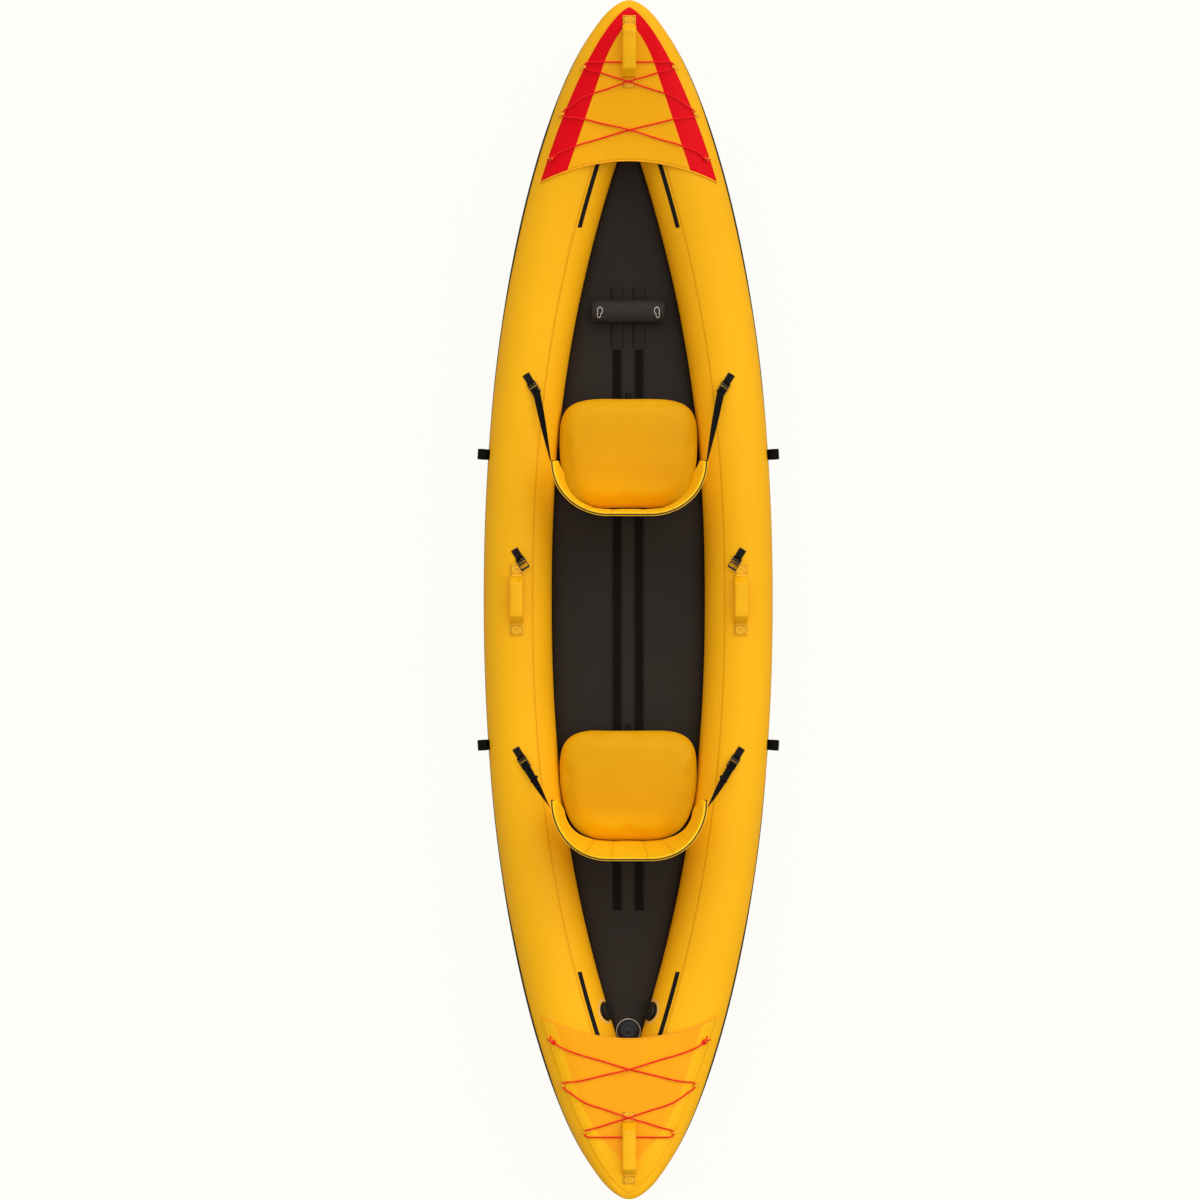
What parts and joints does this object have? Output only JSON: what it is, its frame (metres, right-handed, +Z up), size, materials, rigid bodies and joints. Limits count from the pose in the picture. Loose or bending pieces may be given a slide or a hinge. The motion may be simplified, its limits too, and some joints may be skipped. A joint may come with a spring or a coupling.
{
  "type": "tandem inflatable kayak",
  "caption": "Two-seat inflatable kayak with zipped side tubes, raised ends, sewn decks with laced cord, winged backrests, footrest, slide-in fins and capped air valves.",
  "frame": {"origin": "amidships on the middle line, at the height of the fin tips", "axes": "+X starboard, +Y bow, +Z up"},
  "size_m": [0.983, 3.7882, 0.5725],
  "materials": {
    "cover_yellow": "coated woven nylon, satin",
    "seat_yellow": "coated fabric, satin",
    "deck_orange": "coated woven fabric, printed bands at the edges",
    "cord_red": "braided elastic cord",
    "floor_grey": "coated fabric, matt",
    "bladder_grey": "thin film, hidden in the covers",
    "skin_black": "coated tarpaulin, semi-matt",
    "footrest_charcoal": "coated fabric, matt",
    "hardware_black": "moulded plastic",
    "fin_black": "moulded plastic",
    "webbing_black": "woven webbing"
  },
  "bodies": {
    "hull": {"port_bladder": "bladder_grey", "starboard_bladder": "bladder_grey", "port_tube_cover": "cover_yellow", "starboard_tube_cover": "cover_yellow", "floor_chamber": "floor_grey", "hull_skin": "skin_black", "port_seam_tape": "skin_black", "starboard_seam_tape": "skin_black", "bow_deck": "deck_orange", "stern_deck": "deck_orange", "bow_cord": "cord_red", "stern_cord": "cord_red", "bow_cord_loops": "cover_yellow", "stern_cord_loops": "cover_yellow", "bow_handle_webbing": "cover_yellow", "bow_handle_grip": "cover_yellow", "stern_handle_webbing": "cover_yellow", "stern_handle_grip": "cover_yellow", "port_handle_webbing": "cover_yellow", "port_handle_grip": "cover_yellow", "starboard_handle_webbing": "cover_yellow", "starboard_handle_grip": "cover_yellow", "bow_zips": "webbing_black", "stern_zips": "webbing_black", "floor_straps": "webbing_black", "footrest_tapes": "webbing_black", "front_seat_cushion": "seat_yellow", "front_seat_port_strap": "webbing_black", "front_seat_starboard_strap": "webbing_black", "front_seat_valve": "hardware_black", "rear_seat_cushion": "seat_yellow", "rear_seat_port_strap": "webbing_black", "rear_seat_starboard_strap": "webbing_black", "rear_seat_valve": "hardware_black", "strap_anchor_tabs": "webbing_black", "seat_ladder_locks": "hardware_black", "paddle_loops": "webbing_black", "front_fin_base": "fin_black", "port_fin_base": "fin_black", "starboard_fin_base": "fin_black", "port_valve_body": "hardware_black", "starboard_valve_body": "hardware_black", "floor_valve_body": "hardware_black"},
    "front_back": {"front_backrest": "seat_yellow"},
    "rear_back": {"rear_backrest": "seat_yellow"},
    "front_fin_body": {"front_fin": "fin_black"},
    "port_fin_body": {"port_fin": "fin_black"},
    "starboard_fin_body": {"starboard_fin": "fin_black"},
    "starboard_cap": {"starboard_valve_cap": "hardware_black"},
    "port_cap": {"port_valve_cap": "hardware_black"},
    "floor_cap": {"floor_valve_cap": "hardware_black"},
    "starboard_plunger": {"starboard_valve_plunger": "hardware_black"},
    "port_plunger": {"port_valve_plunger": "hardware_black"},
    "floor_plunger": {"floor_valve_plunger": "hardware_black"},
    "footrest": {"footrest_roll": "footrest_charcoal"},
    "starboard_lock": {"starboard_spare_ladder_lock": "hardware_black"},
    "port_lock": {"port_spare_ladder_lock": "hardware_black"}
  },
  "joints": [
    {"name": "front_recline", "type": "hinge", "parent": "hull", "child": "front_back", "pos_m": [0, 0.288, 0.23838], "axis": [1, 0, 0], "range_deg": [0, 30], "deforming": ["front_seat_port_strap", "front_seat_starboard_strap"]},
    {"name": "rear_recline", "type": "hinge", "parent": "hull", "child": "rear_back", "pos_m": [0, -0.789, 0.24355], "axis": [1, 0, 0], "range_deg": [0, 30], "deforming": ["rear_seat_port_strap", "rear_seat_starboard_strap"]},
    {"name": "front_fin_slide", "type": "slide", "parent": "hull", "child": "front_fin_body", "axis": [0, -0.9997, -0.0256], "range_m": [0, 0.18]},
    {"name": "port_fin_slide", "type": "slide", "parent": "hull", "child": "port_fin_body", "axis": [0, -0.9964, 0.0849], "range_m": [0, 0.18]},
    {"name": "starboard_fin_slide", "type": "slide", "parent": "hull", "child": "starboard_fin_body", "axis": [0, -0.9964, 0.0849], "range_m": [0, 0.18]},
    {"name": "starboard_cap_hinge", "type": "hinge", "parent": "hull", "child": "starboard_cap", "pos_m": [0.07863, -1.29961, 0.30551], "axis": [-0.5124, 0, -0.8588], "range_deg": [0, 90]},
    {"name": "port_cap_hinge", "type": "hinge", "parent": "hull", "child": "port_cap", "pos_m": [-0.07863, -1.29961, 0.30551], "axis": [-0.5124, 0, 0.8588], "range_deg": [0, 90]},
    {"name": "floor_cap_hinge", "type": "hinge", "parent": "hull", "child": "floor_cap", "pos_m": [0, -1.36893, 0.26469], "axis": [-1, 0, 0], "range_deg": [0, 90]},
    {"name": "starboard_plunger_push", "type": "slide", "parent": "hull", "child": "starboard_plunger", "axis": [0.8098, -0.3329, -0.4831], "range_m": [0, 0.006], "stiffness_N_per_m": 40, "springref_m": -0.002},
    {"name": "port_plunger_push", "type": "slide", "parent": "hull", "child": "port_plunger", "axis": [-0.8098, -0.3329, -0.4831], "range_m": [0, 0.006], "stiffness_N_per_m": 40, "springref_m": -0.002},
    {"name": "floor_plunger_push", "type": "slide", "parent": "hull", "child": "floor_plunger", "axis": [0, -0.1944, -0.9809], "range_m": [0, 0.006], "stiffness_N_per_m": 40, "springref_m": -0.002},
    {"name": "footrest_slide", "type": "slide", "parent": "hull", "child": "footrest", "axis": [0, 0.9988, 0.0495], "range_m": [-0.04, 0.03]},
    {"name": "starboard_lock_flip", "type": "hinge", "parent": "hull", "child": "starboard_lock", "pos_m": [0.35069, 0.1329, 0.34032], "axis": [-0.8373, 0.5299, 0.1347], "range_deg": [0, 100]},
    {"name": "port_lock_flip", "type": "hinge", "parent": "hull", "child": "port_lock", "pos_m": [-0.35069, 0.1329, 0.34032], "axis": [-0.8373, -0.5299, -0.1347], "range_deg": [0, 100]}
  ]
}
